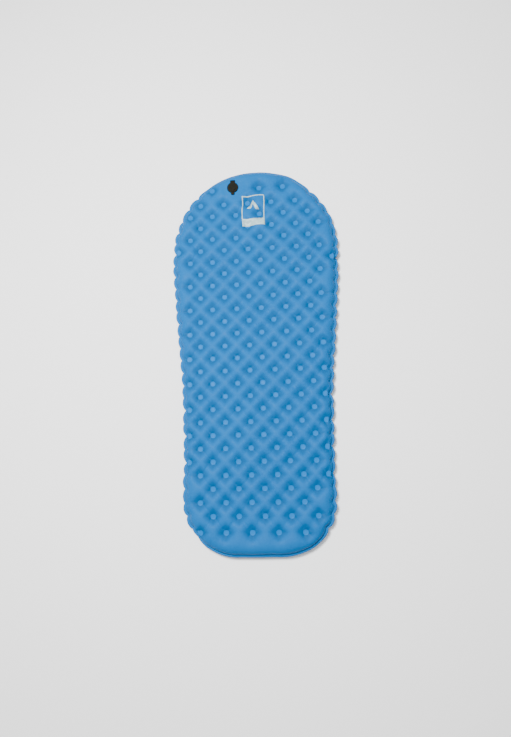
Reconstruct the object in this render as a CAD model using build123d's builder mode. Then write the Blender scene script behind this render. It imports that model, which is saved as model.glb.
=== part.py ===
from build123d import *

import os
from math import asin, atan, cos, degrees, hypot, radians, sin

# Three-quarter-length inflatable sleeping pad with a mummy outline. Two coated fabric sheets are
# fused together around the edge. Inside, one upright web for each row of dots ties the sheets
# together, fused to both of them at a lattice of round dots, and a two-stage valve sits near the
# head. Millimetres. The origin is on the ground under the middle of the pad, +X runs across it,
# +Y towards the head and +Z up.

# Outline
pad_length = 1260
shoulder_width = 550
thickness = 50
head_radius = 264
shoulder_radius = 330
foot_corner_radius = 165
shoulder_lean = 5.0  # degrees that the sides lean in just below the shoulders
foot_lean = 1.2  # degrees that they still lean in just above the foot corners
waist_radius = 1500

# Sheets, and the fused film that joins them to each other and to the webs
sheet_wall = 0.8
weld_film = 0.4
weld_inset = 4  # dots and webs stop this far short of the flange, where the edge rounds over
flange_width = 8
edge_fillet = 18
weld_plane = thickness / 2

# Lattice of dots: alternate rows are staggered by half a column
row_count = 28
row_pitch = 41
column_pitch = 80
column_offset = 20
columns_each_side = 3
dot_radius = 9
dimple_mouth_radius = 20
dimple_depth = 10
dot_to_edge = 13  # no dot sits nearer than this to the cut edge
dot_to_valve = 45
edge_column = 200  # dots further out than this are drawn in by the inflated edge
edge_pull = 5
head_row_shift = 12
foot_row_shift = -7

# Webs
web_thickness = 0.5
web_gap = 1.2 * column_pitch  # dots further apart than this have separate webs
window_width = 42
window_height = 16
window_corner = 5

# Printed panel on the top sheet
print_centre_y = 482
print_width = 76
print_height = 108
print_line = 5
print_band_height = 22
print_corner = 3
ink = 0.15

# Valve: radii, and heights above the top of the pad
valve_x = -68
valve_y = 568.5
throat_radius = 13
neck_radius = 16.5
neck_top = 1.5
valve_flange_radius = 24
valve_flange_thickness = 1.2
cage_radius = 14.5
cage_bottom = -14
cage_window = 6
cage_window_count = 6

ring_radius = 19.3
ring_bottom = 0.1
ring_top = 1.4
lug_width = 17
lug_end = 27

stopper_radius = 18.3
stopper_bottom = 2.0
stopper_top = 3.5
plug_radius = 12.0
plug_bottom = -4.0
plug_wall = 1.4
port_radius = 8.1
port_wall = 1.4
spider_thickness = 1.2
spider_hub_radius = 2.6
spoke_width = 2.0
spoke_count = 3
stem_hole_radius = 1.1
tab_width = 12
tab_end = 27

cap_radius = 11.5
cap_bottom = 4.0
cap_top = 5.4
cap_plug_radius = 7.6
cap_plug_bottom = 0.6
cap_plug_wall = 1.4
cap_roof = 3.2
cap_dish_radius = 8
cap_dish_depth = 0.4
cap_tab_width = 9
cap_tab_end = 16.3

seal_gap = 0.05
stopper_seal_radii = (13.2, 16.2)
cap_seal_radii = (8.7, 10.7)

# Hinges: distance of each axis from the valve's centre line, and its height
stopper_hinge_y = 21.0
stopper_hinge_z = 2.1
stopper_bead_radius = 0.9
cap_hinge_y = -16.6
cap_hinge_z = 4.3
cap_bead_radius = 0.8
bead_clearance = 0.3
stopper_strap_width = 13
cap_strap_width = 8
strap_thickness = 0.8

diaphragm_radius = 7.4
diaphragm_thickness = 0.9
stem_radius = 0.9
bulb_radius = 1.6
bulb_bottom = -0.9
bulb_top = 0.1

# Worked out from the driving dimensions
half_length = pad_length / 2
head_sweep = degrees(asin((shoulder_radius - shoulder_width / 2) / (shoulder_radius - head_radius)))
widest_y = half_length - head_radius - (shoulder_radius - head_radius) * cos(radians(head_sweep))
side_start_y = widest_y - shoulder_radius * sin(radians(shoulder_lean))
side_end_y = foot_corner_radius * (1 - sin(radians(foot_lean))) - half_length
side_drop = side_start_y - side_end_y
waist_drop = waist_radius * (sin(radians(shoulder_lean)) - sin(radians(foot_lean)))
upper_length = (side_drop - waist_drop) / 2 / cos(radians(shoulder_lean))
lower_length = (side_drop - waist_drop) / 2 / cos(radians(foot_lean))
sheet_face = weld_plane + weld_film / 2
dimple_slope = (dimple_mouth_radius - dot_radius) / dimple_depth
dimple_floor = thickness - dimple_depth
top_weld = dimple_floor - sheet_wall - weld_film  # underside of the film under each top dot
bottom_weld = thickness - top_weld
valve_origin = (valve_x, valve_y, thickness)
valve_axis = Axis(valve_origin, (0, 0, 1))
valve_plane = Plane(origin=valve_origin)
valve_section = Plane(origin=valve_origin, x_dir=(1, 0, 0), z_dir=(0, -1, 0))

os.makedirs("parts", exist_ok=True)


def save(part, label):
    """Label one finished piece and write it to its own STEP file."""
    part.label = label
    export_step(part, f"parts/{label}.step")


# Pad outline: head arc, shoulder, side with a slight waist, foot corner, straight foot
with BuildSketch() as outline:
    with BuildLine():
        head = JernArc((0, half_length), (1, 0), head_radius, -head_sweep)
        shoulder = JernArc(head @ 1, head % 1, shoulder_radius, head_sweep - 90 - shoulder_lean)
        upper_side = Line(shoulder @ 1, shoulder @ 1 + shoulder % 1 * upper_length)
        waist = JernArc(upper_side @ 1, upper_side % 1, waist_radius, shoulder_lean - foot_lean)
        lower_side = Line(waist @ 1, waist @ 1 + waist % 1 * lower_length)
        corner = JernArc(lower_side @ 1, lower_side % 1, foot_corner_radius, foot_lean - 90)
        Line(corner @ 1, (0, -half_length))
        mirror(about=Plane.YZ)
    make_face()

chamber = offset(outline.sketch, amount=-flange_width)
dot_zone = offset(outline.sketch, amount=-dot_to_edge).face()


def dot_rows():
    """Centres of the fused dots, one list for each row from the foot to the head."""
    rows = []
    for row in range(row_count):
        y = (row - (row_count - 1) / 2) * row_pitch
        stagger = column_offset if row % 2 else -column_offset
        row_shift = {0: foot_row_shift, row_count - 1: head_row_shift}.get(row, 0)
        dots = []
        for column in range(-columns_each_side, columns_each_side + 1):
            x = column * column_pitch + stagger
            near_valve = hypot(x - valve_x, y - valve_y) < dot_to_valve
            if near_valve or not dot_zone.is_inside((x, y, 0)):
                continue
            if abs(x) > edge_column:
                x -= edge_pull if x > 0 else -edge_pull
            dots.append((x, y + row_shift))
        rows.append(dots)
    return rows


rows = dot_rows()
sites = [site for dots in rows for site in dots]


def inflated_half(inset):
    """Upper half of the inflated body, drawn in by inset: 0 is its outside, sheet_wall its inside."""
    radial_inset = inset / cos(atan(dimple_slope))
    roof = thickness - inset
    floor_radius = dot_radius + radial_inset - inset * dimple_slope
    with BuildPart() as half:
        with BuildSketch(Plane.XY.offset(sheet_face)):
            if inset:
                offset(chamber, amount=-inset)
            else:
                add(chamber)
        extrude(amount=roof - sheet_face)
        fillet(half.faces().sort_by(Axis.Z)[-1].edges(), edge_fillet - inset)
        with Locations([(x, y, roof - dimple_depth) for x, y in sites]):
            Cone(
                floor_radius,
                floor_radius + dimple_depth * dimple_slope,
                dimple_depth,
                align=(Align.CENTER, Align.CENTER, Align.MIN),
                mode=Mode.SUBTRACT,
            )
    return half.part


outside = inflated_half(0)
inside = inflated_half(sheet_wall)

# One sheet: the dimpled skin of half the pad with its flat edge flange
with BuildPart() as plain_sheet:
    add(outside)
    add(inside, mode=Mode.SUBTRACT)
    with BuildSketch(Plane.XY.offset(sheet_face)):
        add(outline.sketch)
        add(chamber, mode=Mode.SUBTRACT)
    extrude(amount=sheet_wall)

with BuildPart() as bottom_sheet:
    add(mirror(plain_sheet.part, about=Plane.XY.offset(weld_plane), mode=Mode.PRIVATE))

with BuildPart() as top_sheet:
    add(plain_sheet.part)
    with BuildSketch(valve_plane):
        Circle(neck_radius + seal_gap)
    extrude(amount=-2 * sheet_wall, mode=Mode.SUBTRACT)

# Fused coating: a band between the sheets' flanges, and a disc between each dot and its web
with BuildPart() as edge_weld:
    with BuildSketch(Plane.XY.offset(weld_plane - weld_film / 2)):
        add(outline.sketch)
        add(chamber, mode=Mode.SUBTRACT)
    extrude(amount=weld_film)


def dot_welds(height):
    """Discs of fused film under or over every dot, with their lower face at this height."""
    with BuildPart() as discs:
        with BuildSketch(Plane.XY.offset(height)):
            with Locations(sites):
                Circle(dot_radius)
            offset(chamber, amount=-weld_inset, mode=Mode.INTERSECT)
        extrude(amount=weld_film)
    return discs.part


# Webs: upright strips along the rows, with windows between the dots that let the air through
with BuildPart() as tension_webs:
    for dots in rows:
        row_y = dots[0][1]
        with BuildSketch(Plane.XZ.offset(-row_y)):
            with Locations([(x, weld_plane) for x, y in dots]):
                Rectangle(2 * dot_radius, top_weld - bottom_weld)
            for (left, _), (right, _) in zip(dots, dots[1:]):
                if right - left > web_gap:
                    continue
                with Locations(((left + right) / 2, weld_plane)):
                    Rectangle(right - left, top_weld - bottom_weld)
                    RectangleRounded(window_width, window_height, window_corner, mode=Mode.SUBTRACT)
        extrude(amount=web_thickness / 2, both=True)
    with BuildSketch():
        offset(chamber, amount=-weld_inset)
    extrude(amount=thickness, mode=Mode.INTERSECT)

# Printed frame with a band along its lower edge, following the top sheet into its dimples
with BuildPart() as print_panel:
    with BuildSketch(Plane.XY.offset(sheet_face)):
        with Locations((0, print_centre_y)):
            RectangleRounded(print_width, print_height, print_corner)
            Rectangle(print_width - 2 * print_line, print_height - 2 * print_line, mode=Mode.SUBTRACT)
        with Locations((0, print_centre_y - print_height / 2 + print_line)):
            Rectangle(
                print_width - 2 * print_line,
                print_band_height,
                align=(Align.CENTER, Align.MIN),
            )
    extrude(amount=thickness + ink - sheet_face)
    near_print = [site for site in sites if hypot(site[0], site[1] - print_centre_y) < print_height]
    with Locations([(x, y, dimple_floor + ink) for x, y in near_print]):
        Cone(
            dot_radius,
            dimple_mouth_radius,
            dimple_depth,
            align=(Align.CENTER, Align.CENTER, Align.MIN),
            mode=Mode.SUBTRACT,
        )
    add(outside, mode=Mode.SUBTRACT)

# Valve base: flange under the top sheet, neck through it, and a cage that keeps the sheets apart
with BuildPart() as valve_base:
    with BuildSketch(valve_section):
        with BuildLine():
            Polyline(
                (throat_radius, neck_top),
                (neck_radius, neck_top),
                (neck_radius, -sheet_wall),
                (valve_flange_radius, -sheet_wall),
                (valve_flange_radius, -sheet_wall - valve_flange_thickness),
                (cage_radius, -sheet_wall - valve_flange_thickness),
                (cage_radius, cage_bottom),
                (throat_radius, cage_bottom),
                close=True,
            )
        make_face()
    revolve(axis=valve_axis)
    with BuildSketch(valve_plane.offset(cage_bottom)):
        with PolarLocations(throat_radius, cage_window_count):
            Rectangle(cage_window, cage_window)
    extrude(amount=cage_window, mode=Mode.SUBTRACT)

# Tether ring around the neck, with the lug that its strap bends from
with BuildPart() as tether_ring:
    with BuildSketch(valve_plane.offset(ring_bottom)):
        Circle(ring_radius)
        with Locations((0, lug_end / 2)):
            RectangleRounded(lug_width, lug_end, dot_radius / 3)
        Circle(neck_radius + seal_gap, mode=Mode.SUBTRACT)
    extrude(amount=ring_top - ring_bottom)
    with Locations((valve_x, valve_y + stopper_hinge_y, thickness + stopper_hinge_z)):
        Cylinder(
            stopper_bead_radius + bead_clearance,
            stopper_strap_width + 2 * bead_clearance,
            rotation=(0, 90, 0),
            mode=Mode.SUBTRACT,
        )

# Stopper: deck, plug skirt, inflation port with its spider, and a pull tab towards the foot
with BuildPart() as dump_stopper:
    with BuildSketch(valve_section):
        with BuildLine():
            Polyline(
                (port_radius, stopper_top),
                (stopper_radius, stopper_top),
                (stopper_radius, stopper_bottom),
                (plug_radius, stopper_bottom),
                (plug_radius, plug_bottom),
                (plug_radius - plug_wall, plug_bottom),
                (plug_radius - plug_wall, stopper_bottom),
                (port_radius + port_wall, stopper_bottom),
                (port_radius + port_wall, plug_bottom),
                (port_radius, plug_bottom),
                close=True,
            )
        make_face()
    revolve(axis=valve_axis)
    with BuildSketch(valve_plane.offset(stopper_bottom)):
        with Locations((0, -tab_end / 2 - port_radius)):
            RectangleRounded(tab_width, tab_end - 2 * port_radius, tab_width / 3)
        Circle(stopper_radius - plug_wall, mode=Mode.SUBTRACT)
    extrude(amount=stopper_top - stopper_bottom)
    with BuildSketch(valve_plane.offset(plug_bottom)):
        Circle(spider_hub_radius)
        with PolarLocations(port_radius / 2, spoke_count):
            Rectangle(port_radius + port_wall, spoke_width)
        Circle(stem_hole_radius, mode=Mode.SUBTRACT)
    extrude(amount=spider_thickness)
    with Locations((valve_x, valve_y + cap_hinge_y, thickness + cap_hinge_z)):
        Cylinder(
            cap_bead_radius + bead_clearance,
            cap_strap_width + 2 * bead_clearance,
            rotation=(0, 90, 0),
            mode=Mode.SUBTRACT,
        )


def strap(hinge_y, hinge_z, bead_radius, width, disc_radius):
    """Flat strap from the rim of a round piece out to the bead that it turns on."""
    with BuildPart() as arm:
        with Locations((valve_x, valve_y + hinge_y, thickness + hinge_z)):
            Cylinder(bead_radius, width, rotation=(0, 90, 0))
        with BuildSketch(valve_plane.offset(hinge_z)):
            with Locations((0, hinge_y / 2)):
                Rectangle(width, abs(hinge_y))
            Circle(disc_radius, mode=Mode.SUBTRACT)
        extrude(amount=strap_thickness)
    return arm.part


# Seals: a flat gasket under the stopper's deck and one under the cap
def gasket(radii, low, high):
    """Flat ring between two heights above the pad."""
    inner, outer = radii
    with BuildPart() as ring:
        with BuildSketch(valve_plane.offset(low)):
            Circle(outer)
            Circle(inner, mode=Mode.SUBTRACT)
        extrude(amount=high - low)
    return ring.part


# Inflation cap: a dished disc with a hollow plug, and a pull tab towards the head
with BuildPart() as inflation_cap:
    with BuildSketch(valve_section):
        with BuildLine():
            Polyline(
                (0, cap_top - cap_dish_depth),
                (cap_dish_radius, cap_top - cap_dish_depth),
                (cap_dish_radius, cap_top),
                (cap_radius, cap_top),
                (cap_radius, cap_bottom),
                (cap_plug_radius, cap_bottom),
                (cap_plug_radius, cap_plug_bottom),
                (cap_plug_radius - cap_plug_wall, cap_plug_bottom),
                (cap_plug_radius - cap_plug_wall, cap_roof),
                (0, cap_roof),
                close=True,
            )
        make_face()
    revolve(axis=valve_axis)
    with BuildSketch(valve_plane.offset(cap_bottom)):
        with Locations((0, cap_tab_end - cap_dish_radius / 2)):
            RectangleRounded(cap_tab_width, cap_dish_radius, cap_tab_width / 3)
        Circle(cap_dish_radius + cap_dish_depth, mode=Mode.SUBTRACT)
    extrude(amount=cap_top - cap_bottom)

# Check diaphragm: thin disc under the spider on a stem with a retaining bulb
with BuildPart() as check_diaphragm:
    disc_top = plug_bottom - seal_gap
    with BuildSketch(valve_section):
        with BuildLine():
            Polyline(
                (0, disc_top - diaphragm_thickness),
                (diaphragm_radius, disc_top - diaphragm_thickness),
                (diaphragm_radius, disc_top),
                (stem_radius, disc_top),
                (stem_radius, bulb_bottom),
                (bulb_radius, bulb_bottom),
                (stem_radius, bulb_top),
                (0, bulb_top),
                close=True,
            )
        make_face()
    revolve(axis=valve_axis)

stopper_strap = strap(
    stopper_hinge_y, stopper_hinge_z, stopper_bead_radius, stopper_strap_width, stopper_radius
)
cap_strap = strap(cap_hinge_y, cap_hinge_z, cap_bead_radius, cap_strap_width, cap_radius)
stopper_seal = gasket(stopper_seal_radii, neck_top + seal_gap, stopper_bottom)
cap_seal = gasket(cap_seal_radii, stopper_top + seal_gap, cap_bottom)

save(top_sheet.part, "top_sheet")
save(bottom_sheet.part, "bottom_sheet")
save(edge_weld.part, "edge_weld")
save(dot_welds(top_weld), "top_dot_welds")
save(dot_welds(bottom_weld - weld_film), "bottom_dot_welds")
save(tension_webs.part, "tension_webs")
save(print_panel.part, "print_panel")
save(valve_base.part, "valve_base")
save(tether_ring.part, "tether_ring")
save(dump_stopper.part, "dump_stopper")
save(stopper_strap, "stopper_strap")
save(stopper_seal, "stopper_seal")
save(inflation_cap.part, "inflation_cap")
save(cap_strap, "cap_strap")
save(cap_seal, "cap_seal")
save(check_diaphragm.part, "check_diaphragm")
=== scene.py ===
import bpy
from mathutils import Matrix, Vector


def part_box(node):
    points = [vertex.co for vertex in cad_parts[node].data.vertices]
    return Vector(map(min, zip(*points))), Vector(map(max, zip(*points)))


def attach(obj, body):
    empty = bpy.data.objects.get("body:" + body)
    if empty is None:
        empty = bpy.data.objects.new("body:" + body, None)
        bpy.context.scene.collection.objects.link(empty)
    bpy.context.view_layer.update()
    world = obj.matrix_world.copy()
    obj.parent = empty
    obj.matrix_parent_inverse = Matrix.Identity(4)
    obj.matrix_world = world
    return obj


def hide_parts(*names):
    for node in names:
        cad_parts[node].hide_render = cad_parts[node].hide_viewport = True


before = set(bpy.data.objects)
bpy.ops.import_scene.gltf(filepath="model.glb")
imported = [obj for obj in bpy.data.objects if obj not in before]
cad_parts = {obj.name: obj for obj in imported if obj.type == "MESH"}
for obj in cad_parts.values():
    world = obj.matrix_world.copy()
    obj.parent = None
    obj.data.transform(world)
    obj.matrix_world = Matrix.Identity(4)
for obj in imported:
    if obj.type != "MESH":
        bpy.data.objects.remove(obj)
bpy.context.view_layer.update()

import math

import bpy
import numpy as np
from mathutils import Vector
from mathutils.geometry import delaunay_2d_cdt

# Inflatable sleeping pad: two fabric sheets held together at a lattice of dots and welded around
# the edge, inflated by a small cloth solver, with a two-stage valve and a printed panel near the head.
# Metres. +X across the pad, +Y towards the head, +Z up, origin on the ground under its middle.

MM = 0.001

# ---------------------------------------------------------------- outline and lattice of dots
pad_low, pad_high = (Vector(corner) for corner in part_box("edge_weld"))
half_length = pad_high.y
half_shoulder = pad_high.x
weld_z = (pad_low.z + pad_high.z) / 2
head_radius = 264 * MM
shoulder_radius = 330 * MM
foot_corner_radius = 165 * MM
waist_radius = 1500 * MM
shoulder_lean = math.radians(5.0)
foot_lean = math.radians(1.2)
flange_width = 8 * MM

row_count = 28
row_pitch = 41 * MM
column_pitch = 80 * MM
column_offset = 20 * MM
columns_each_side = 3
dot_to_edge = 13 * MM
dot_to_valve = 45 * MM
edge_column = 200 * MM
edge_pull = 5 * MM
end_row_shift = {0: -7 * MM, row_count - 1: 12 * MM}
valve_x, valve_y = ((a + b) / 2 for a, b in list(zip(*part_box("valve_base")))[:2])


def pad_outline(step):
    """Cut edge of the sheets as a closed ring of points about step apart, anticlockwise."""
    sweep = math.asin((shoulder_radius - half_shoulder) / (shoulder_radius - head_radius))
    widest = half_length - head_radius - (shoulder_radius - head_radius) * math.cos(sweep)
    top = widest - shoulder_radius * math.sin(shoulder_lean)
    bottom = foot_corner_radius * (1 - math.sin(foot_lean)) - half_length
    waist_drop = waist_radius * (math.sin(shoulder_lean) - math.sin(foot_lean))
    straight = (top - bottom - waist_drop) / 2
    quarter = math.pi / 2
    runs = (
        (head_radius, -sweep),
        (shoulder_radius, sweep - quarter - shoulder_lean),
        (0, straight / math.cos(shoulder_lean)),
        (waist_radius, shoulder_lean - foot_lean),
        (0, straight / math.cos(foot_lean)),
        (foot_corner_radius, foot_lean - quarter),
    )
    place = np.array([0.0, half_length])
    heading = 0.0
    points = [place]
    for radius, amount in runs:
        length = radius * abs(amount) if radius else amount
        pieces = max(1, round(length / step))
        turn = amount / pieces if radius else 0.0
        chord = 2 * radius * math.sin(abs(turn) / 2) if radius else length / pieces
        for _ in range(pieces):
            heading += turn / 2
            place = place + chord * np.array([math.cos(heading), math.sin(heading)])
            heading += turn / 2
            points.append(place)
    foot_steps = max(1, round(place[0] / step))
    for k in range(1, foot_steps + 1):
        points.append(np.array([place[0] * (1 - k / foot_steps), -half_length]))
    right = np.array(points)
    left = right[1:-1][::-1] * (-1, 1)
    return np.vstack([right, left])[::-1]


def resampled(ring, step):
    """The same closed ring with evenly spaced points about step apart."""
    closed = np.vstack([ring, ring[:1]])
    along = np.concatenate([[0], np.cumsum(np.linalg.norm(np.diff(closed, axis=0), axis=1))])
    marks = np.linspace(0, along[-1], round(along[-1] / step), endpoint=False)
    return np.column_stack([np.interp(marks, along, closed[:, axis]) for axis in (0, 1)])


def inset_ring(ring, distance):
    """The ring moved inwards by distance, which is one number or a column of one for each point."""
    tangent = np.roll(ring, -1, axis=0) - np.roll(ring, 1, axis=0)
    tangent /= np.linalg.norm(tangent, axis=1)[:, None]
    return ring + distance * np.column_stack([-tangent[:, 1], tangent[:, 0]])


def notched(ring):
    """The ring with a small notch in it at the end of each row of dots, as the webs pull it in."""
    rows = (np.arange(row_count) - (row_count - 1) / 2) * row_pitch
    pull = np.zeros(len(ring))
    for y in rows:
        for side in (-1, 1):
            beside = np.where(ring[:, 0] * side > 0)[0]
            centre = ring[beside[np.abs(ring[beside, 1] - y).argmin()]]
            distance = np.linalg.norm(ring - centre, axis=1)
            depth = notch_depth * noise.uniform(*notch_share)
            pull = np.maximum(pull, depth * np.exp(-distance / notch_reach))
    return inset_ring(ring, pull[:, None])


def depth_inside(points, ring, batch=2000):
    """Distance of each point from the ring, positive inside it."""
    a = ring
    ab = np.roll(ring, -1, axis=0) - ring
    length2 = (ab**2).sum(1)
    depths = []
    for first in range(0, len(points), batch):
        p = points[first : first + batch, None, :]
        t = np.clip(((p - a) * ab).sum(2) / length2, 0, 1)
        away = p - (a + t[..., None] * ab)
        nearest = (away**2).sum(2).argmin(1)
        rows = np.arange(len(nearest))
        offset = away[rows, nearest]
        edge = ab[nearest]
        side = np.sign(edge[:, 0] * offset[:, 1] - edge[:, 1] * offset[:, 0])
        depths.append(side * np.linalg.norm(offset, axis=1))
    return np.concatenate(depths)


def dot_sites(ring):
    """Centres of the welded dots, from the foot to the head."""
    sites = []
    for row in range(row_count):
        y = (row - (row_count - 1) / 2) * row_pitch
        stagger = column_offset if row % 2 else -column_offset
        for column in range(-columns_each_side, columns_each_side + 1):
            x = column * column_pitch + stagger
            near_valve = math.hypot(x - valve_x, y - valve_y) < dot_to_valve
            if near_valve or depth_inside(np.array([[x, y]]), ring)[0] < dot_to_edge:
                continue
            if abs(x) > edge_column:
                x -= math.copysign(edge_pull, x)
            sites.append((x, y + end_row_shift.get(row, 0)))
    return np.array(sites)


# ---------------------------------------------------------------- cloth mesh and solver
cell = 5 * MM  # spacing of the cloth's points
dot_face = 8.2 * MM  # flat part of a dot, a little smaller than the film behind it
dot_rings = (  # radius and number of the points laid round each dot
    (0, 1),
    (4.2 * MM, 8),
    (dot_face, 20),
    (dot_face + 0.8 * MM, 20),
    (13 * MM, 22),
)
clear_of_rings = 16.5 * MM
grid_gap = 0.7 * cell  # between the grid's points and the flange or the valve's rings
ring_gap = 0.45 * cell  # between the dots' rings and the flange
print_gap = 1.6 * MM
grid_jitter = 0.12
pattern_growth = 8 * MM  # past the CAD outline, because the bulging sides draw the cut edge in
notch_depth = 8.5 * MM
notch_reach = 9 * MM
notch_share = (0.65, 1.05)  # range of the notches' depths, as a share of notch_depth
ring_step = 3 * MM
dot_height = 40 * MM  # of the top sheet's dots; the bottom sheet's mirror them
fabric_slack = 1.02  # fabric for each length of finished pad
seam_slack = 1.0
wall_slack = 1.40
wall_reach = (22 * MM, 50 * MM)
edge_bulge = 25 * MM
fabric_drift = 0.02
fabric_grain = 0.012
drift_waves = 6
drift_rate = 60  # fastest drift along each axis, in radians per metre
height_limit = (25.5 * MM, 33 * MM)
solver_steps = 220
solver_passes = 2
settle_in = 60  # steps over which the pressure rises
ease_off = 0.75  # share of the steps after which it is lowered
eased_pressure = 0.5
pressure_push = 0.16 * MM
damping = 0.9
squeeze = 0.6  # share of its stiffness that the fabric keeps when it is pushed together
smoothing = 0.03
ground_gap = 0.6 * MM
same_place = 1.01  # tolerance on a radius or width when the points laid on it are picked out
noise = np.random.default_rng(3)

# Valve opening in the top sheet, and the flat area that holds it
neck_hole = 16.6 * MM
valve_flange = 24 * MM
valve_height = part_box("valve_base")[1].z - 1.95 * MM
valve_clearance = (30 * MM, 62 * MM)
ceiling_rise = 10 * MM  # room for the fabric above the valve's flange, further out
valve_rings = ((0, 1), (8 * MM, 10), (neck_hole, 30), (20.5 * MM, 32), (valve_flange, 34))

# Printed panel
print_low, print_high = (Vector(corner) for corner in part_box("print_panel"))
print_middle = ((print_low + print_high) / 2).xy
print_line = 3.6 * MM
print_band = 22 * MM
print_step = 3.5 * MM
tent_drop = 12 * MM  # from the frame's inner edge down to the peak
tent_half_width = 21 * MM
tent_height = 33 * MM
door_drop = 14 * MM
door_half_width = 7 * MM
ink_gap = 0.02 * MM
ink_thickness = 0.1 * MM


def smoothstep(value, low, high):
    """0 below low, 1 above high, smooth between."""
    t = np.clip((value - low) / (high - low), 0, 1)
    return t * t * (3 - 2 * t)


def circle(centre, radius, count, turn=0.0):
    """Points evenly spaced on a circle."""
    angles = 2 * math.pi * (np.arange(count) + turn) / count
    return np.column_stack([np.cos(angles), np.sin(angles)]) * radius + centre


def rectangle(low, high):
    """Corners of a rectangle, anticlockwise."""
    return np.array([low, (high[0], low[1]), high, (low[0], high[1])])


def within(points, polygon):
    """Whether each point is inside the polygon."""
    start, end = polygon, np.roll(polygon, -1, axis=0)
    x, y = points[:, 0, None], points[:, 1, None]
    straddles = (start[:, 1] > y) != (end[:, 1] > y)
    rise = np.where(start[:, 1] == end[:, 1], 1.0, end[:, 1] - start[:, 1])
    crossing = start[:, 0] + (y - start[:, 1]) / rise * (end[:, 0] - start[:, 0])
    return (straddles & (x < crossing)).sum(1) % 2 == 1


def print_shapes():
    """Inked outlines and their openings: a frame, a band along its foot and a plain tent."""
    low, high = np.array(print_low.xy), np.array(print_high.xy)
    inner_low, inner_high = low + print_line, high - print_line
    band_top = (inner_high[0], inner_low[1] + print_band)
    peak = np.array([print_middle.x, inner_high[1] - tent_drop])
    tent = [peak] + [peak + (side * tent_half_width, -tent_height) for side in (-1, 1)]
    door_top = peak + (0, -door_drop)
    door = [door_top] + [peak + (side * door_half_width, -tent_height) for side in (-1, 1)]
    tent, door = np.array(tent), np.array(door)
    inked = [rectangle(low, high), rectangle(inner_low, band_top), tent]
    open_areas = [rectangle(inner_low + (0, print_band), inner_high), door]
    return inked, open_areas


def in_print(points):
    """Whether each flat point is inked."""
    (frame_outside, _, tent), (window, door) = print_shapes()
    framed = within(points, frame_outside) & ~within(points, window)
    return framed | (within(points, tent) & ~within(points, door))


def cloth_pattern(ring, sites):
    """Flat points and triangles of one sheet, laid out round the dots, the valve and the print."""
    valve = np.array([valve_x, valve_y])
    loops = [ring] + [resampled(shape, print_step) for shapes in print_shapes() for shape in shapes]
    loops.append(circle(valve, neck_hole, dict(valve_rings)[neck_hole]))
    printed = np.vstack(loops[1:-1])
    low, high = ring.min(0), ring.max(0)
    rows = np.arange(low[1], high[1], cell * math.sqrt(3) / 2)
    columns = np.arange(low[0], high[0], cell)
    grid = np.array([(x + index % 2 * cell / 2, y) for index, y in enumerate(rows) for x in columns])
    grid += noise.uniform(-grid_jitter, grid_jitter, grid.shape) * cell
    grid = grid[depth_inside(grid, ring) > flange_width + grid_gap]
    to_dot = np.min(np.linalg.norm(grid[:, None, :] - sites[None], axis=2), axis=1)
    to_valve = np.linalg.norm(grid - valve, axis=1)
    grid = grid[(to_dot > clear_of_rings) & (to_valve > valve_flange + grid_gap)]
    around = [circle(site, radius, count) for site in sites for radius, count in dot_rings]
    around += [circle(valve, radius, count) for radius, count in valve_rings if radius != neck_hole]
    around = np.vstack(around)
    around = around[depth_inside(around, ring) > flange_width + ring_gap]
    loose = np.vstack([grid, around])
    to_print = np.min(np.linalg.norm(loose[:, None, :] - printed[None], axis=2), axis=1)
    loose = loose[to_print > print_gap]
    borders = []
    first = 0
    for loop in loops:
        count = len(loop)
        borders += [(first + k, first + (k + 1) % count) for k in range(count)]
        first += count
    flange = [inset_ring(ring, flange_width / 2), inset_ring(ring, flange_width)]
    points = np.vstack(loops + flange + [loose])
    flat, _, faces, _, _, _ = delaunay_2d_cdt(
        [Vector(point) for point in points], borders, [], 1, 1e-7, False
    )
    flat = np.array([tuple(point) for point in flat])
    faces = np.array(faces)
    a, b, c = (flat[faces[:, k]] for k in range(3))
    area = np.cross(b - a, c - a)
    faces = np.where((area < 0)[:, None], faces[:, ::-1], faces)
    inside = depth_inside((a + b + c) / 3, ring) > 0
    return flat, faces[inside]


def inward_direction(points, ring):
    """Unit vectors pointing away from the ring, into the pad."""
    probe = 0.5 * MM
    steps = np.eye(2) * probe
    slope = [depth_inside(points + step, ring) - depth_inside(points - step, ring) for step in steps]
    slope = np.column_stack(slope)
    return slope / np.maximum(np.linalg.norm(slope, axis=1), 1e-9)[:, None]


def slack_lengths(edges, flat, depth, inward, rigid):
    """Length of fabric along each edge of the mesh: more than the flat distance where it has slack."""
    span = flat[edges[:, 1]] - flat[edges[:, 0]]
    length = np.linalg.norm(span, axis=1)
    middle = depth[edges].mean(1)
    across = inward[edges].sum(1)
    across /= np.maximum(np.linalg.norm(across, axis=1), 1e-9)[:, None]
    cosine2 = ((span * across).sum(1) / length) ** 2
    near_edge = 1 - smoothstep(middle, *wall_reach)
    radial = fabric_slack + (wall_slack - fabric_slack) * near_edge
    radial = np.where(middle < flange_width, 1.0, radial)
    along = fabric_slack + (seam_slack - fabric_slack) * near_edge
    slack = np.sqrt(radial**2 * cosine2 + along**2 * (1 - cosine2))
    waves = noise.uniform(-drift_rate, drift_rate, (drift_waves, 2))
    phases = noise.uniform(0, 2 * math.pi, drift_waves)
    drift = np.sin(flat[edges].mean(1) @ waves.T + phases).mean(1)
    uneven = 1 + fabric_drift * drift + noise.normal(0, fabric_grain, len(edges))
    return length * np.where(rigid, 1.0, slack * uneven)


def separate_batches(edges, count):
    """Groups of edges in which no two share a point, so that each group is solved at once."""
    used = [0] * count
    group = np.zeros(len(edges), int)
    for k, (a, b) in enumerate(edges.tolist()):
        taken = used[a] | used[b]
        free = 0
        while taken >> free & 1:
            free += 1
        used[a] |= 1 << free
        used[b] |= 1 << free
        group[k] = free
    return [np.where(group == g)[0] for g in range(group.max() + 1)]


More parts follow.
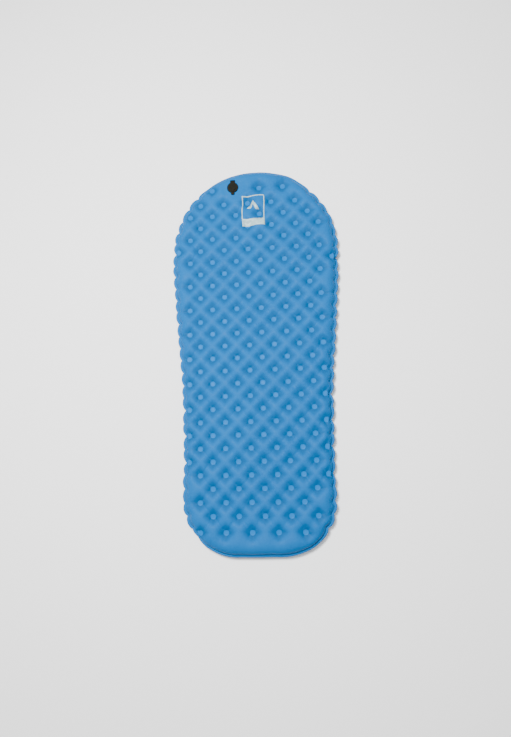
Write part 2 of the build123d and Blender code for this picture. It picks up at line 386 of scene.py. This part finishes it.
def scatter(index, values, count):
    """Sum of the rows of values at each index."""
    return np.column_stack([np.bincount(index, values[:, axis], count) for axis in range(3)])


def inflate(flat, faces, ring, sites):
    """Inflates the two sheets. Returns the upper and the lower sheet's points, and the masks of the
    points in dots and in the flange."""
    depth = depth_inside(flat, ring)
    to_dot = np.linalg.norm(flat[:, None, :] - sites[None], axis=2)
    dot = np.where(to_dot.min(1) < dot_face * same_place, to_dot.argmin(1), -1)
    in_flange = depth < flange_width * same_place
    dot[in_flange] = -1
    to_valve = np.linalg.norm(flat - (valve_x, valve_y), axis=1)
    in_valve = to_valve < valve_flange * same_place
    ceiling = valve_height + ceiling_rise * smoothstep(to_valve, *valve_clearance)
    count = len(flat)
    loose = np.where(~in_flange)[0]
    flange = np.where(in_flange)[0]
    lower = np.arange(count)
    lower[loose] = count + np.arange(len(loose))
    total = count + len(loose)
    both = np.concatenate([np.arange(count), loose])
    triangles = np.vstack([faces, lower[faces][:, ::-1]])

    wall = np.clip((depth - flange_width) / edge_bulge, 0, 1)
    rise = (dot_height - weld_z) * np.sqrt(1 - (1 - wall) ** 2)
    rise[dot >= 0] = dot_height - weld_z
    rise[in_valve] = valve_height - weld_z
    place = np.column_stack([flat[both], np.zeros(total)])
    place[:count, 2] = weld_z + rise
    place[count:, 2] = weld_z - np.minimum(rise[loose], dot_height - weld_z)
    held = dot[both] >= 0
    held[:count] |= in_valve
    moves = (~held).astype(float)

    edges = np.vstack([triangles[:, [0, 1]], triangles[:, [1, 2]], triangles[:, [2, 0]]])
    edges.sort(axis=1)
    edges = np.unique(edges, axis=0)
    same_dot = (dot[both][edges[:, 0]] == dot[both][edges[:, 1]]) & (dot[both][edges[:, 0]] >= 0)
    inward = inward_direction(flat, ring)
    length = slack_lengths(edges, flat[both], depth[both], inward[both], same_dot)
    batches = []
    for chosen in separate_batches(edges, total):
        a, b = edges[chosen].T
        share = np.maximum(moves[a] + moves[b], 1)
        batches.append((a, b, length[chosen], (moves[a] / share)[:, None], (moves[b] / share)[:, None]))

    corner = [flat[both][triangles[:, k]] for k in range(3)]
    area = np.abs(np.cross(corner[1] - corner[0], corner[2] - corner[0])) / 6
    area = sum(np.bincount(triangles[:, k], area, total) for k in range(3))
    first, second = edges.T
    neighbours = np.bincount(first, minlength=total) + np.bincount(second, minlength=total)
    speed = np.zeros_like(place)
    steps = solver_steps
    for step in range(steps):
        a, b, c = (place[triangles[:, k]] for k in range(3))
        face_normal = np.cross(b - a, c - a)
        lift = sum(scatter(triangles[:, k], face_normal, total) for k in range(3))
        lift /= (6 * area)[:, None]
        lift *= (1 - smoothstep(np.abs(place[:, 2] - weld_z), *height_limit))[:, None]
        strength = pressure_push * min(1, step / settle_in)
        strength *= 1 if step < steps * ease_off else eased_pressure
        before = place.copy()
        place += (damping * speed + strength * lift) * moves[:, None]
        for _ in range(solver_passes):
            for a, b, rest, share_a, share_b in batches:
                span = place[b] - place[a]
                now = np.sqrt((span * span).sum(1))
                error = (now - rest) / now
                error = np.where(error < 0, error * squeeze, error)
                span *= error[:, None]
                place[a] += span * share_a
                place[b] -= span * share_b
        if step % 2 == 0:
            mean = scatter(first, place[second], total) + scatter(second, place[first], total)
            place += smoothing * (mean / neighbours[:, None] - place) * moves[:, None]
        place[:, 2] = np.maximum(place[:, 2], ground_gap)
        place[flange, 2] = weld_z
        place[:count, 2] = np.minimum(place[:count, 2], ceiling)
        speed = place - before
    return place[:count], place[lower], dot >= 0, in_flange


# ---------------------------------------------------------------- meshes
skin = 0.4 * MM  # thickness of one coated sheet
film_half = 0.05 * MM
crease_reach = (9.2 * MM, 13.5 * MM, 25 * MM)  # where the puckers round a dot start, are deepest, end
crease_depth = 1.0 * MM
sink_reach = (11 * MM, 20 * MM, 37 * MM)
sink_depth = 2.0 * MM
pucker_margin = 28 * MM  # from the cut edge, where the puckers reach their full depth
edge_fade = (flange_width * 0.9, flange_width * 1.4)
film_share = 0.9  # of film_half, so that the film stays inside the gap between the sheets
painted_dimple_shade_reach = (13 * MM, 36 * MM)  # where the fabric round a dot is painted darker, as painted shade in its dimple, strongest near the dot


def unit_normals(points, faces):
    """Area-weighted unit normal at each point."""
    a, b, c = (points[faces[:, k]] for k in range(3))
    face_normal = np.cross(b - a, c - a)
    normal = sum(scatter(faces[:, k], face_normal, len(points)) for k in range(3))
    return normal / np.maximum(np.linalg.norm(normal, axis=1), 1e-12)[:, None]


def shell(name, outer, inner, faces, layers):
    """Closed thin piece between two layers of the same points, with its rim filled in.

    layers holds one number per point for each named attribute of the mesh."""
    used, index = np.unique(faces, return_inverse=True)
    faces = index.reshape(faces.shape)
    count = len(used)
    edges = np.vstack([faces[:, [0, 1]], faces[:, [1, 2]], faces[:, [2, 0]]])
    _, inverse, uses = np.unique(
        np.sort(edges, axis=1), axis=0, return_inverse=True, return_counts=True
    )
    rim = edges[uses[inverse.ravel()] == 1]
    walls = np.column_stack([rim[:, 1], rim[:, 0], rim[:, 0] + count, rim[:, 1] + count])
    mesh = bpy.data.meshes.new(name)
    mesh.from_pydata(
        np.vstack([outer[used], inner[used]]).tolist(),
        [],
        faces.tolist() + (faces[:, ::-1] + count).tolist() + walls.tolist(),
    )
    mesh.update()
    mesh.shade_smooth()
    for label, values in layers.items():
        layer = mesh.attributes.new(label, "FLOAT", "POINT")
        layer.data.foreach_set("value", np.tile(values[used], 2).astype(np.float32))
    piece = bpy.data.objects.new(name, mesh)
    bpy.context.scene.collection.objects.link(piece)
    return piece


def around_dots(flat, sites):
    """Each point's reach, distance and angle from its nearest dot, and that dot's number.

    The reach is the sum of the distances along the two axes, so places of one reach form a diamond."""
    away = flat[:, None, :] - sites[None]
    reach = np.abs(away).sum(2)
    nearest = reach.argmin(1)
    rows = np.arange(len(flat))
    east, north = away[rows, nearest].T
    return reach[rows, nearest], np.hypot(east, north), np.arctan2(north, east), nearest


def puckered(points, reach, radius, angle, nearest, strength):
    """Sinks the fabric between the ridges and gathers it round each dot in small radial creases.

    strength is 1 on the top sheet, -1 on the bottom one and less where the pad is held flat."""
    dots = nearest.max() + 1
    phase = noise.uniform(0, 2 * math.pi, (dots, 2))[nearest]
    count = noise.integers(4, 7, dots)[nearest]
    wave = np.sin(angle * count + phase[:, 0]) + 0.6 * np.sin(angle * 3 + phase[:, 1])
    start, deepest, end = crease_reach
    crease = smoothstep(radius, start, deepest) * (1 - smoothstep(radius, deepest, end))
    start, deepest, end = sink_reach
    sink = smoothstep(reach, start, deepest) * (1 - smoothstep(reach, deepest, end))
    moved = points.copy()
    moved[:, 2] += strength * (crease_depth * wave * crease - sink_depth * sink)
    return moved


outline = resampled(pad_outline(2 * MM), ring_step)
sites = dot_sites(outline)
ring = notched(inset_ring(outline, -pattern_growth))
flat, faces = cloth_pattern(ring, sites)
upper, lower, in_dot, in_flange = inflate(flat, faces, ring, sites)
edge_depth = depth_inside(flat, ring)
to_valve = np.linalg.norm(flat - (valve_x, valve_y), axis=1)
free = smoothstep(edge_depth, flange_width, pucker_margin) * smoothstep(to_valve, *valve_clearance)
reach, radius, angle, nearest = around_dots(flat, sites)
upper = puckered(upper, reach, radius, angle, nearest, free)
lower = puckered(lower, reach, radius, angle, nearest, -free)
lower[:, 2] = np.maximum(lower[:, 2], ground_gap)
layers = {
    "weld": in_dot.astype(float),
    # seam flange, lightened in the fabric's colour: partly the pressed weld's own colour, partly painted
    # light
    "edge": 1 - smoothstep(edge_depth, *edge_fade),
    # painted shade: darker fabric round each dot, fading out across the dimple
    "painted_dimple_shade": free * (1 - smoothstep(reach, *painted_dimple_shade_reach)),
}
upper_normal = unit_normals(upper, faces)
lower_normal = unit_normals(lower, faces[:, ::-1])
face_middle = flat[faces].mean(1)
in_neck = np.linalg.norm(face_middle - (valve_x, valve_y), axis=1) < neck_hole
top_faces = faces[~in_neck]

upper_face = upper + (film_half + skin) * upper_normal
lower_face = lower + (film_half + skin) * lower_normal
top_skin = shell("top_skin", upper_face, upper + film_half * upper_normal, top_faces, layers)
bottom_skin = shell(
    "bottom_skin", lower_face, lower + film_half * lower_normal, faces[:, ::-1], layers
)
flange_faces = faces[in_flange[faces].all(1)]
seam_film = shell(
    "seam_film",
    upper + film_half * film_share * upper_normal,
    upper - film_half * film_share * upper_normal,
    flange_faces,
    {},
)
ink_faces = faces[in_print(face_middle)]
ink_base = upper_face + ink_gap * upper_normal
print_film = shell("print_film", ink_base + ink_thickness * upper_normal, ink_base, ink_faces, {})

for piece, node in (
    (top_skin, "top_sheet"),
    (bottom_skin, "bottom_sheet"),
    (seam_film, "edge_weld"),
    (print_film, "print_panel"),
):
    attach(piece, "pad")
    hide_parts(node)


# ---------------------------------------------------------------- materials
def new_material(name, roughness, **sockets):
    """Material with a Principled shader whose plain sockets are set, and its node tree."""
    material = bpy.data.materials.new(name)
    material.use_nodes = True
    tree = material.node_tree
    shader = tree.nodes["Principled BSDF"]
    shader.inputs["Roughness"].default_value = roughness
    for socket, value in sockets.items():
        shader.inputs[socket.replace("_", " ")].default_value = value
    return material, tree, shader


def node(tree, kind, values=(), **settings):
    """Adds a node, with its settings and the values of its sockets."""
    made = tree.nodes.new(kind)
    for key, value in settings.items():
        setattr(made, key, value)
    for socket, value in dict(values).items():
        made.inputs[socket].default_value = value
    return made


def noise_in(tree, scale, detail=3.0):
    """Noise over the object's own coordinates."""
    place = node(tree, "ShaderNodeTexCoord")
    texture = node(tree, "ShaderNodeTexNoise", {"Scale": scale, "Detail": detail})
    tree.links.new(place.outputs["Object"], texture.inputs["Vector"])
    return texture.outputs["Fac"]


def threads(tree, direction, scale):
    """Rows of threads across one axis of the object."""
    place = node(tree, "ShaderNodeTexCoord")
    texture = node(
        tree,
        "ShaderNodeTexWave",
        {"Scale": scale, "Distortion": 0.3, "Detail": 1.0, "Detail Scale": 2.0},
        bands_direction=direction,
    )
    tree.links.new(place.outputs["Object"], texture.inputs["Vector"])
    return texture.outputs["Fac"]


def mixed(tree, factor, low, high):
    """Colour or socket low at factor 0, high at factor 1."""
    mix = node(tree, "ShaderNodeMix", data_type="RGBA")
    tree.links.new(factor, mix.inputs["Factor"])
    for socket, value in ((mix.inputs["A"], low), (mix.inputs["B"], high)):
        if isinstance(value, bpy.types.NodeSocket):
            tree.links.new(value, socket)
        else:
            socket.default_value = (*value, 1)
    return mix.outputs["Result"]


def ranged(tree, value, from_low, from_high, to_low, to_high):
    """The value mapped from one range to another."""
    values = {1: from_low, 2: from_high, 3: to_low, 4: to_high}
    mapped = node(tree, "ShaderNodeMapRange", values)
    tree.links.new(value, mapped.inputs["Value"])
    return mapped.outputs["Result"]


def combined(tree, operation, first, second):
    """The two values joined by a Math node."""
    made = node(tree, "ShaderNodeMath", operation=operation)
    for socket, value in zip(made.inputs, (first, second)):
        if isinstance(value, bpy.types.NodeSocket):
            tree.links.new(value, socket)
        else:
            socket.default_value = value
    return made.outputs[0]


def bump(tree, height, distance, strength, under=None):
    """Bump from a height, on top of another one."""
    made = node(tree, "ShaderNodeBump", {"Distance": distance, "Strength": strength})
    tree.links.new(height, made.inputs["Height"])
    if under is not None:
        tree.links.new(under, made.inputs["Normal"])
    return made.outputs["Normal"]


def coated_fabric(name, deep, plain, weld):
    """Woven fabric with a thin coating: fine threads, soft mottling, smoother fused dots, painted shade
    round the dots, and a seam edge lightened partly to the weld's own colour and partly as painted light.
    """
    material, tree, shader = new_material(
        name, 0.5, Sheen_Weight=0.01, Sheen_Roughness=0.5, Specular_IOR_Level=0.05
    )
    mottle = ranged(tree, noise_in(tree, 9, 4), 0.3, 0.7, 0, 1)
    fine = ranged(tree, noise_in(tree, 160, 2), 0.3, 0.7, 0, 1)
    colour = mixed(tree, combined(tree, "MULTIPLY", mottle, fine), plain, deep)
    fused = node(tree, "ShaderNodeAttribute", attribute_name="weld").outputs["Fac"]
    rim = node(tree, "ShaderNodeAttribute", attribute_name="edge").outputs["Fac"]
    painted_dimple_shade = node(tree, "ShaderNodeAttribute", attribute_name="painted_dimple_shade").outputs["Fac"]
    # Painted shade: round each dot the fabric is mixed towards a darker copy of its plain colour, standing
    # in for the shade in the dimples.
    shaded = tuple(channel * 0.66 for channel in plain)
    colour = mixed(tree, painted_dimple_shade, colour, shaded)
    colour = mixed(tree, fused, colour, weld)
    # Partly painted light: the seam flange is mixed towards the weld colour. This is partly the pressed
    # weld's own colour and partly a lift against the shade that the bulging sides cast on it.
    colour = mixed(tree, combined(tree, "MULTIPLY", rim, 0.6), colour, weld)
    tree.links.new(colour, shader.inputs["Base Color"])
    rough = ranged(tree, noise_in(tree, 60, 3), 0.3, 0.7, 0.46, 0.6)
    smooth = combined(tree, "MULTIPLY", fused, 0.1)
    tree.links.new(combined(tree, "SUBTRACT", rough, smooth), shader.inputs["Roughness"])
    weave = combined(tree, "MAXIMUM", threads(tree, "X", 520), threads(tree, "Y", 520))
    grid = combined(tree, "MAXIMUM", threads(tree, "X", 32), threads(tree, "Y", 32))
    grid = combined(tree, "POWER", grid, 12.0)
    surface = bump(tree, noise_in(tree, 45, 3), 0.6 * MM, 0.35)
    surface = bump(tree, grid, 0.08 * MM, 0.3, surface)
    surface = bump(tree, weave, 0.06 * MM, 0.35, surface)
    tree.links.new(surface, shader.inputs["Normal"])
    return material


def moulded(name, dark, light, roughness, grain, gloss):
    """Moulded plastic or rubber: fine grain, uneven gloss and slightly worn edges."""
    material, tree, shader = new_material(name, roughness, Specular_IOR_Level=gloss)
    patches = ranged(tree, noise_in(tree, 220, 4), 0.3, 0.7, 0, 1)
    colour = mixed(tree, patches, dark, light)
    geometry = node(tree, "ShaderNodeNewGeometry")
    worn = ranged(tree, geometry.outputs["Pointiness"], 0.56, 0.75, 0, 0.25)
    scuffed = tuple(channel * 2.5 for channel in light)
    colour = mixed(tree, worn, colour, scuffed)
    tree.links.new(colour, shader.inputs["Base Color"])
    uneven = ranged(tree, noise_in(tree, 500, 3), 0.3, 0.7, roughness - 0.07, roughness + 0.07)
    tree.links.new(uneven, shader.inputs["Roughness"])
    surface = bump(tree, noise_in(tree, 2600, 2), grain, 0.5)
    tree.links.new(surface, shader.inputs["Normal"])
    return material


def ink(name):
    """Pale transfer film: slightly mottled and uneven over the fabric."""
    material, tree, shader = new_material(name, 0.42, Specular_IOR_Level=0.45)
    mottle = ranged(tree, noise_in(tree, 300, 4), 0.35, 0.7, 0, 1)
    colour = mixed(tree, mottle, (0.34, 0.45, 0.46), (0.20, 0.33, 0.36))
    tree.links.new(colour, shader.inputs["Base Color"])
    tree.links.new(ranged(tree, noise_in(tree, 800, 2), 0.3, 0.7, 0.36, 0.5), shader.inputs["Roughness"])
    tree.links.new(bump(tree, noise_in(tree, 900, 3), 0.05 * MM, 0.4), shader.inputs["Normal"])
    return material


top_fabric = coated_fabric("top_fabric_look", (0, 0.082, 0.255), (0, 0.099, 0.295), (0, 0.109, 0.325))
bottom_fabric = coated_fabric(
    "bottom_fabric_look", (0, 0.070, 0.21), (0.0005, 0.083, 0.25), (0.0005, 0.095, 0.28)
)
weld_look = coated_fabric("weld_look", (0, 0.088, 0.27), (0, 0.103, 0.305), (0, 0.109, 0.325))
web_look = coated_fabric("web_look", (0.38, 0.42, 0.46), (0.50, 0.55, 0.60), (0.50, 0.55, 0.60))
print_look = ink("print_look")
body_look = moulded("valve_body_look", (0.004, 0.004, 0.002), (0.008, 0.008, 0.005), 0.5, 0.04 * MM, 0.06)
soft_look = moulded("valve_soft_look", (0.004, 0.004, 0.003), (0.007, 0.007, 0.005), 0.62, 0.06 * MM, 0.06)
seal_look = moulded("valve_seal_look", (0.05, 0.045, 0.036), (0.08, 0.07, 0.056), 0.6, 0.03 * MM, 0.2)

for piece, look, slot in (
    (top_skin, top_fabric, "top_fabric"),
    (bottom_skin, bottom_fabric, "bottom_fabric"),
    (seam_film, weld_look, "weld_film"),
    (print_film, print_look, "print_ink"),
):
    piece.data.materials.append(look)

for look, names in (
    (weld_look, ("top_dot_welds", "bottom_dot_welds")),
    (web_look, ("tension_webs",)),
    (body_look, ("valve_base", "dump_stopper", "inflation_cap")),
    (soft_look, ("tether_ring", "stopper_strap", "cap_strap")),
    (seal_look, ("stopper_seal", "cap_seal", "check_diaphragm")),
):
    for name in names:
        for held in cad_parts[name].material_slots:
            held.link = "OBJECT"
            held.material = look

# ---------------------------------------------------------------- floor, light and camera
floor_reach = 6
floor_corners = [(x * floor_reach, y * floor_reach, 0) for x, y in ((-1, -1), (1, -1), (1, 1), (-1, 1))]
floor_mesh = bpy.data.meshes.new("studio_floor")
floor_mesh.from_pydata(floor_corners, [], [(0, 1, 2, 3)])
studio_floor = bpy.data.objects.new("studio_floor", floor_mesh)
floor_look, _, floor_shader = new_material("studio_floor_look", 0.9, Specular_IOR_Level=0.0)
floor_shader.inputs["Base Color"].default_value = (0.88, 0.88, 0.88, 1)
floor_mesh.materials.append(floor_look)
bpy.context.scene.collection.objects.link(studio_floor)


def soft_light(name, place, target, size, energy):
    """Square area light at a place, aimed at a target."""
    data = bpy.data.lights.new(name, "AREA")
    data.size = size
    data.energy = energy
    lamp = bpy.data.objects.new(name, data)
    lamp.location = place
    lamp.rotation_euler = (Vector(target) - Vector(place)).to_track_quat("-Z", "Y").to_euler()
    bpy.context.scene.collection.objects.link(lamp)


soft_light("key_light", (-0.6, 0.55, 2.7), (0, 0, 0), 0.7, 200)
soft_light("top_light", (0.1, 0.0, 3.0), (0, 0, 0), 2.0, 60)
world = bpy.data.worlds.new("studio")
bpy.context.scene.world = world
world.use_nodes = True
world.node_tree.nodes["Background"].inputs["Color"].default_value = (1, 1, 1, 1)
world.node_tree.nodes["Background"].inputs["Strength"].default_value = 0.35

camera_data = bpy.data.cameras.new("camera")
camera_data.lens = 26.666
camera = bpy.data.objects.new("camera", camera_data)
camera.location = (0.1662, -0.3833, 1.7404)
camera.rotation_euler = [math.radians(angle) for angle in (10.709, 5.854, -1.022)]
bpy.context.scene.collection.objects.link(camera)
bpy.context.scene.camera = camera
